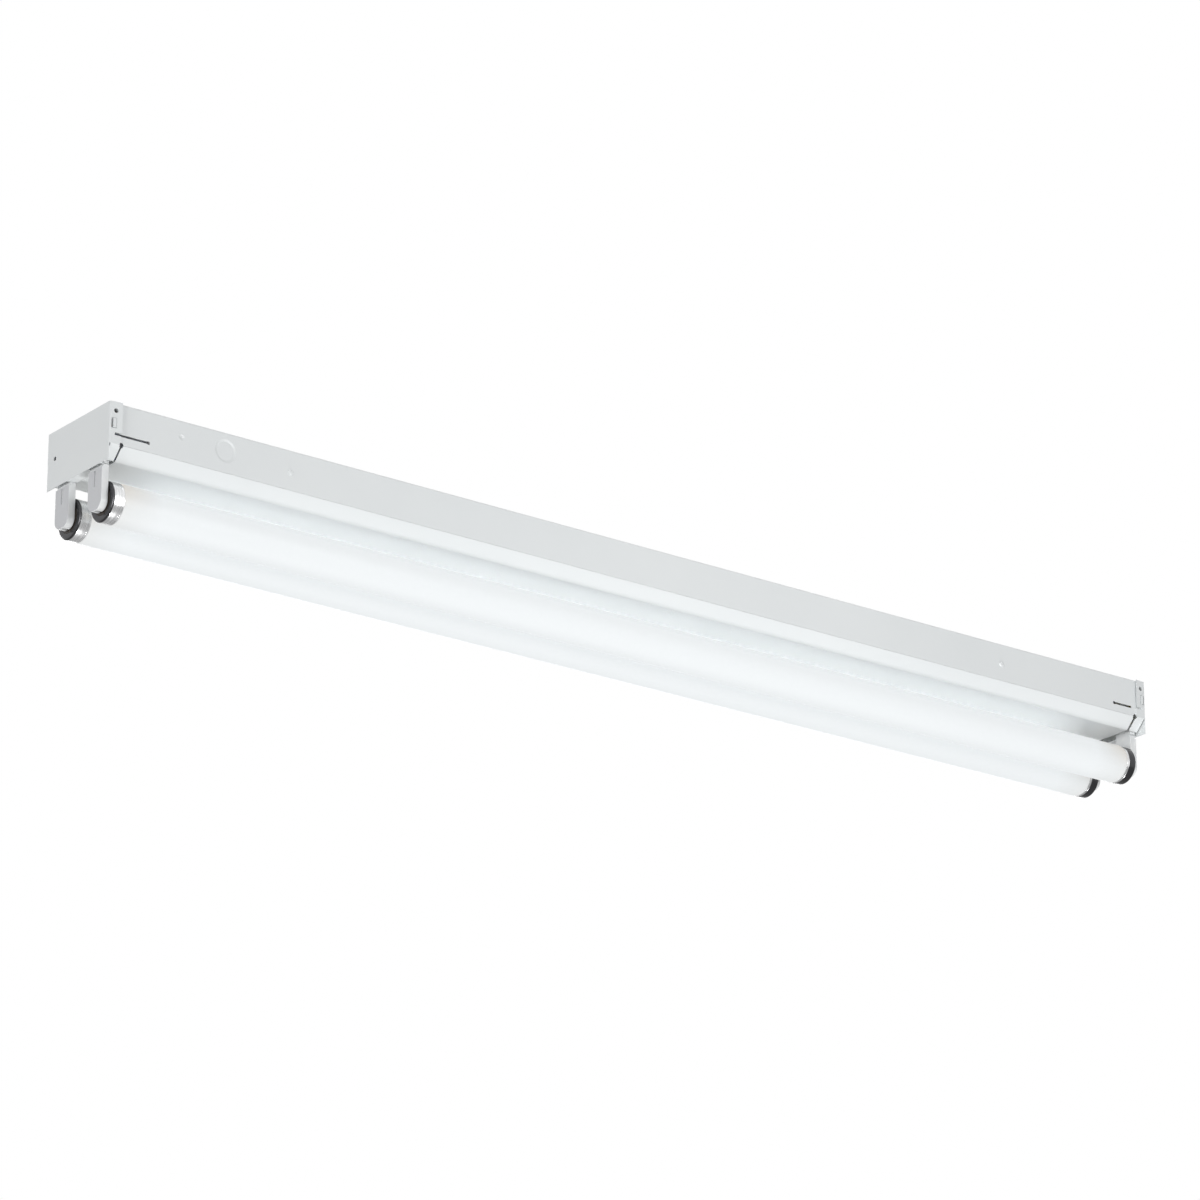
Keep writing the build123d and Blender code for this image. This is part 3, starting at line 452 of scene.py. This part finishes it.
ROTOR_DULL = (0.60, 0.60, 0.58)
ROTOR_CLEAN = (0.70, 0.70, 0.68)
ROTOR_SPOTS = 0.005
ROTOR_SHEEN = 0.002
ROTOR_ROUGHNESS = (0.3, 0.42)
rotor_plastic, tree, shader = new_finish("rotor_plastic", {"Specular IOR Level": 0.5})
paint(tree, shader, mottle(tree, ROTOR_SPOTS, detail=3.0), ROTOR_DULL, ROTOR_CLEAN)
polish(tree, shader, mottle(tree, ROTOR_SHEEN), ROTOR_ROUGHNESS)
wear(rotor_plastic, *[f"{side}_{end}_rotor" for side in SIDES for end in ENDS])

BRONZE_DARK = (0.38, 0.22, 0.10)
BRONZE_LIGHT = (0.62, 0.40, 0.20)
BRONZE_LINES = 0.0015
BRONZE_ROUGHNESS = (0.25, 0.4)
contact_bronze, tree, shader = new_finish("contact_bronze", {"Metallic": 1.0})
rolled_lines = mottle(tree, BRONZE_LINES, stretch=(1, 1, 0.1))
paint(tree, shader, rolled_lines, BRONZE_DARK, BRONZE_LIGHT)
polish(tree, shader, rolled_lines, BRONZE_ROUGHNESS)
wear(contact_bronze, *[f"{side}_{end}_contacts" for side in SIDES for end in ENDS])


# Cover: a shallow tray of the same sheet with 45 degree sides, enamelled like the channel.
# Its upright lips spring against the inside of the channel's walls.
wear(white_enamel, "channel_cover")


# Lamps: straight glass tubes with a white phosphor coat inside. They are lit, but less and warmer
# towards the cathodes; near the ends the top is faded more than the bottom, as painted shade. The
# tube is drawn in to a neck at each end, where the cap is cemented on.
GLASS_WALL = 0.0009
NECK_STEP = 0.0009
NECK_ROUNDING = 0.0004
SHOULDER = 0.0016
INNER_SHOULDER = 0.0008
END_FADE = 0.040
LOWER_TINT = 0.35
PHOSPHOR = (0.34, 0.35, 0.355)
PHOSPHOR_END = (0.42, 0.405, 0.38)
PHOSPHOR_GRAIN = 0.004
THIN_COAT = (0.97, 0.97, 0.97)
FULL_COAT = (1, 1, 1)
GLOW = (0.95, 0.985, 1.00)
GLOW_END = (0.66, 0.63, 0.585)
tube_low, tube_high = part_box("front_lamp_tube")
cap_mouth = -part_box("front_lamp_left_cap")[1].x
lamp_radius = (tube_high.z - tube_low.z) / 2
lamp_z = (tube_high.z + tube_low.z) / 2

lamp_glass, tree, shader = new_finish("lamp_glass", {
    "Roughness": 0.6, "Specular IOR Level": 0.3, "Coat Weight": 0.15, "Coat Roughness": 0.3,
    "Emission Strength": 0.57})
near_end = rescaled(tree, from_middle(tree), 0, 1, cap_mouth - END_FADE, cap_mouth)
half_way = lamp_radius / 2
# Painted shade: near the ends the fade is full on top and only LOWER_TINT of it underneath.
painted_shade_on_top = rescaled(tree, along(tree, "Z"), LOWER_TINT, 1, lamp_z - half_way, lamp_z + half_way)
end_fade_and_painted_shade = worked(tree, "MULTIPLY", near_end, painted_shade_on_top)
grain = mottle(tree, PHOSPHOR_GRAIN, detail=4.0)
coat = tree.nodes.new("ShaderNodeMix")
coat.data_type = "RGBA"
coat.blend_type = "MULTIPLY"
coat.inputs["Factor"].default_value = 1.0
phosphor = between(tree, end_fade_and_painted_shade, PHOSPHOR, PHOSPHOR_END, start=0.25, end=1.0)
tree.links.new(phosphor, coat.inputs["A"])
tree.links.new(between(tree, grain, THIN_COAT, FULL_COAT), coat.inputs["B"])
tree.links.new(coat.outputs["Result"], shader.inputs["Base Color"])
glow = between(tree, end_fade_and_painted_shade, GLOW, GLOW_END, start=0.0, end=1.0)
tree.links.new(glow, shader.inputs["Emission Color"])


def lamp_middle(side):
    """The middle of a lamp's axis."""
    low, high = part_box(f"{side}_lamp_tube")
    return 0, (low.y + high.y) / 2, lamp_z


neck = lamp_radius - NECK_STEP
inner_neck = neck - GLASS_WALL
inner_radius = lamp_radius - GLASS_WALL
tube_half = tube_high.x
tube_profile = [
    (-tube_half, neck, 0),
    (-cap_mouth, neck, NECK_ROUNDING),
    (-cap_mouth + SHOULDER, lamp_radius, SHOULDER),
    (cap_mouth - SHOULDER, lamp_radius, SHOULDER),
    (cap_mouth, neck, NECK_ROUNDING),
    (tube_half, neck, 0),
    (tube_half, inner_neck, 0),
    (cap_mouth, inner_neck, 0),
    (cap_mouth - SHOULDER, inner_radius, INNER_SHOULDER),
    (-cap_mouth + SHOULDER, inner_radius, INNER_SHOULDER),
    (-cap_mouth, inner_neck, 0),
    (-tube_half, inner_neck, 0),
]
for side in SIDES:
    tube_places = [(lamp_middle(side), (1, 0, 0))]
    tube = turn(f"{side}_tube", tube_profile, tube_places, lamp_glass, sides=128)
    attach(tube, f"{side}_lamp")
    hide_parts(f"{side}_lamp_tube")


# Lamp caps: spun aluminium cups, bright at the beaded mouth over the glass, with painted shade
# round the rim, wider at the right, for the shaded lampholder they reflect. A dark insulating disc
# closes each and carries the two brass pins.
CAP_WALL = 0.0005
CAP_EDGE = 0.0022
MOUTH_ROUNDING = 0.0002
BEAD_WIDTH = 0.0011
BEAD_GROOVE = 0.00025
BEAD_SLOPE = 0.0004
BEAD_ROUNDING = 0.0003
DISC_RADIUS = 0.013
DISC_ROUNDING = 0.0001
CAP_DULL = (0.66, 0.665, 0.67)
CAP_BRIGHT = (0.84, 0.845, 0.85)
CAP_LINES = 0.0011
CAP_LINE_DEPTH = 0.00004
CAP_ROUGHNESS = (0.22, 0.32)
RIM_PAINTED_SHADE = (0.07, 0.07, 0.074)
RIM_WIDTH = 0.0052
RIM_FADE = 0.0008
RIM_SHIFT = 0.0040
cap_metal, tree, shader = new_finish("cap_metal", {"Metallic": 1.0})
spun_lines = mottle(tree, CAP_LINES, stretch=(1, 0.08, 0.08))
cap_low, cap_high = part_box("front_lamp_right_cap")
# Painted shade: a dark band round each cap's outer end, shifted so it is wider on the right caps.
rim_start = cap_high.x - RIM_WIDTH
painted_shade_rim = rescaled(tree, from_middle(tree, RIM_SHIFT), 0, 1, rim_start - RIM_FADE, rim_start)
cup = between(tree, spun_lines, CAP_DULL, CAP_BRIGHT)
tree.links.new(overlaid(tree, painted_shade_rim, cup, RIM_PAINTED_SHADE), shader.inputs["Base Color"])
polish(tree, shader, spun_lines, CAP_ROUGHNESS)
emboss(tree, shader, spun_lines, CAP_LINE_DEPTH)

cap_length = cap_high.x - cap_low.x
cap_radius = (cap_high.z - cap_low.z) / 2
cap_inside = cap_radius - CAP_WALL
groove = cap_radius - BEAD_GROOVE
groove_end = 2 * BEAD_WIDTH + BEAD_SLOPE
cap_profile = [
    (0, cap_inside, 0),
    (0, cap_radius, MOUTH_ROUNDING),
    (BEAD_WIDTH, cap_radius, BEAD_ROUNDING),
    (BEAD_WIDTH + BEAD_SLOPE, groove, BEAD_ROUNDING),
    (2 * BEAD_WIDTH, groove, BEAD_ROUNDING),
    (groove_end, cap_radius, BEAD_ROUNDING),
    (cap_length, cap_radius, CAP_EDGE),
    (cap_length, DISC_RADIUS, DISC_ROUNDING),
    (cap_length - CAP_WALL, DISC_RADIUS, 0),
    (cap_length - CAP_WALL, cap_inside, CAP_EDGE - CAP_WALL),
    (groove_end, cap_inside, 0),
    (BEAD_WIDTH, groove - CAP_WALL, BEAD_ROUNDING),
]
for side in SIDES:
    _, lamp_y, _ = lamp_middle(side)
    cap_places = [((end * cap_mouth, lamp_y, lamp_z), (end, 0, 0)) for end in (-1, 1)]
    caps = turn(f"{side}_caps", cap_profile, cap_places, cap_metal, sides=96)
    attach(caps, f"{side}_lamp")
    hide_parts(f"{side}_lamp_left_cap", f"{side}_lamp_right_cap")

DISC_DARK = (0.020, 0.016, 0.013)
DISC_LIGHT = (0.050, 0.038, 0.030)
DISC_SPOTS = 0.0012
DISC_SHEEN = 0.002
DISC_ROUGHNESS = (0.45, 0.65)
cap_insulator, tree, shader = new_finish("cap_insulator", {"Specular IOR Level": 0.4})
paint(tree, shader, mottle(tree, DISC_SPOTS, detail=4.0), DISC_DARK, DISC_LIGHT)
polish(tree, shader, mottle(tree, DISC_SHEEN), DISC_ROUGHNESS)
wear(cap_insulator, *[f"{side}_lamp_insulators" for side in SIDES])

BRASS_DARK = (0.48, 0.36, 0.16)
BRASS_LIGHT = (0.70, 0.55, 0.28)
BRASS_SPOTS = 0.001
BRASS_SHEEN = 0.0006
BRASS_ROUGHNESS = (0.22, 0.38)
pin_brass, tree, shader = new_finish("pin_brass", {"Metallic": 1.0})
paint(tree, shader, mottle(tree, BRASS_SPOTS), BRASS_DARK, BRASS_LIGHT)
polish(tree, shader, mottle(tree, BRASS_SHEEN), BRASS_ROUGHNESS)
wear(pin_brass, *[f"{side}_lamp_pins" for side in SIDES])

STEM_DULL = (0.66, 0.70, 0.70)
STEM_CLEAN = (0.78, 0.81, 0.81)
STEM_SPOTS = 0.006
STEM_SHEEN = 0.004
STEM_ROUGHNESS = (0.05, 0.15)
stem_glass, tree, shader = new_finish("stem_glass", {"Transmission Weight": 0.6, "IOR": 1.52})
paint(tree, shader, mottle(tree, STEM_SPOTS), STEM_DULL, STEM_CLEAN)
polish(tree, shader, mottle(tree, STEM_SHEEN), STEM_ROUGHNESS)
wear(stem_glass, *[f"{side}_lamp_stems" for side in SIDES])

CATHODE_DARK = (0.22, 0.22, 0.23)
CATHODE_LIGHT = (0.45, 0.44, 0.42)
CATHODE_TURN = 0.0008
CATHODE_TURN_DEPTH = 0.0002
cathode_wire, tree, shader = new_finish("cathode_wire", {"Metallic": 1.0, "Roughness": 0.4})
turns = mottle(tree, CATHODE_TURN, detail=1.0, stretch=(0.1, 1, 0.1))
paint(tree, shader, turns, CATHODE_DARK, CATHODE_LIGHT)
emboss(tree, shader, turns, CATHODE_TURN_DEPTH)
wear(cathode_wire, *[f"{side}_lamp_cathodes" for side in SIDES])


# Floor: a plain pale studio floor, well below the hanging light.
# It is matt and very slightly clouded.
FLOOR_Z = -6.5
FLOOR_HALF = 30.0
FLOOR_DULL = (0.78, 0.78, 0.78)
FLOOR_CLEAN = (0.82, 0.82, 0.82)
FLOOR_CLOUDS = 1.5
pale_floor, tree, shader = new_finish("pale_floor", {"Roughness": 0.9})
paint(tree, shader, mottle(tree, FLOOR_CLOUDS), FLOOR_DULL, FLOOR_CLEAN)
floor_mesh = bpy.data.meshes.new("floor")
floor_corners = [
    (x * FLOOR_HALF, y * FLOOR_HALF, FLOOR_Z) for x, y in ((-1, -1), (1, -1), (1, 1), (-1, 1))]
floor_mesh.from_pydata(floor_corners, [], [(0, 1, 2, 3)])
floor_mesh.materials.append(pale_floor)
floor = put("floor", floor_mesh)


# Light: a dim even studio, an overhead light, and soft boxes in front, on the left, below and
# behind. A row of weak panels between the lamps gives the light that they throw up on the cover.
# The background is plain white to the camera and in reflections.
STUDIO_LEVEL = 0.25
SOFT_BOXES = {
    "soft_box_in_front": ((0.10, -1.55, -0.12), (0.9, 0.9), 10.4),
    "soft_box_on_the_left": ((-4.35, -1.15, -0.10), (1.6, 1.6), 68.0),
    "soft_box_below": ((0.10, -0.76, -3.55), (0.5, 0.5), 47.0),
    "soft_box_behind": ((1.70, 3.70, 0.80), (4.4, 1.6), 85.0),
}
SOFT_BOX_AIM = (0, 0, -0.05)
OVERHEAD_STRENGTH = 0.9
OVERHEAD_SPREAD = 40
LAMP_GLOW_LENGTH = 1.08
LAMP_GLOW_WATTS = 0.055
LAMP_GLOW_PANELS = 18


def area_light(name, size, watts):
    """A rectangular area light."""
    light = bpy.data.lights.new(name, "AREA")
    light.shape = "RECTANGLE"
    light.size, light.size_y = size
    light.energy = watts
    return light


world = bpy.data.worlds.new("studio")
world.use_nodes = True
tree = world.node_tree
background = tree.nodes["Background"]
background.inputs["Color"].default_value = (1, 1, 1, 1)
path = tree.nodes.new("ShaderNodeLightPath")
seen = path.outputs["Is Camera Ray"]
for kind in ("Is Glossy Ray", "Is Transmission Ray"):
    seen = worked(tree, "MAXIMUM", seen, path.outputs[kind])
level = tree.nodes.new("ShaderNodeMix")
level.inputs["A"].default_value = STUDIO_LEVEL
level.inputs["B"].default_value = 1.0
tree.links.new(seen, level.inputs["Factor"])
tree.links.new(level.outputs["Result"], background.inputs["Strength"])
bpy.context.scene.world = world

for name, (at, size, watts) in SOFT_BOXES.items():
    soft_box = put(name, area_light(name, size, watts))
    soft_box.location = at
    towards = Vector(SOFT_BOX_AIM) - soft_box.location
    soft_box.rotation_euler = towards.to_track_quat("-Z", "Y").to_euler()
    soft_box.visible_camera = False

overhead = bpy.data.lights.new("overhead_light", "SUN")
overhead.energy = OVERHEAD_STRENGTH
overhead.angle = math.radians(OVERHEAD_SPREAD)
put("overhead_light", overhead)

rear_low, rear_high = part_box("rear_lamp_tube")
lamp_spacing = rear_low.y + rear_high.y
panel_length = LAMP_GLOW_LENGTH / LAMP_GLOW_PANELS
first_panel_x = (panel_length - LAMP_GLOW_LENGTH) / 2
lamp_glow = area_light(
    "lamp_glow", (panel_length, lamp_spacing), LAMP_GLOW_WATTS / LAMP_GLOW_PANELS)
lamp_glow.use_shadow = False
lamp_glow.cycles.use_multiple_importance_sampling = False
for step in range(LAMP_GLOW_PANELS):
    panel = put("lamp_glow", lamp_glow)
    panel.location = (first_panel_x + step * panel_length, 0, rear_high.z)
    panel.rotation_euler = (math.pi, 0, 0)
    panel.visible_camera = False


# Camera: below, in front and to the left, looking up along the fitting with a long lens.
# Its place and its angles were fitted to points of the photo.
CAMERA_AT = (-2.8310, -3.6533, -1.7395)
CAMERA_YAW = 37.416
CAMERA_PITCH = 20.261
CAMERA_ROLL = -0.062
CAMERA_SENSOR = 36.0
CAMERA_LENS = 157.53
camera_data = bpy.data.cameras.new("camera")
camera_data.sensor_width = CAMERA_SENSOR
camera_data.lens = CAMERA_LENS
camera = put("camera", camera_data)
camera.location = CAMERA_AT
aim = Euler((math.radians(90 + CAMERA_PITCH), 0, math.radians(-CAMERA_YAW))).to_quaternion()
camera.rotation_euler = (aim @ Quaternion((0, 0, 1), math.radians(CAMERA_ROLL))).to_euler()
bpy.context.scene.camera = camera
bpy.context.scene.view_settings.view_transform = "Standard"
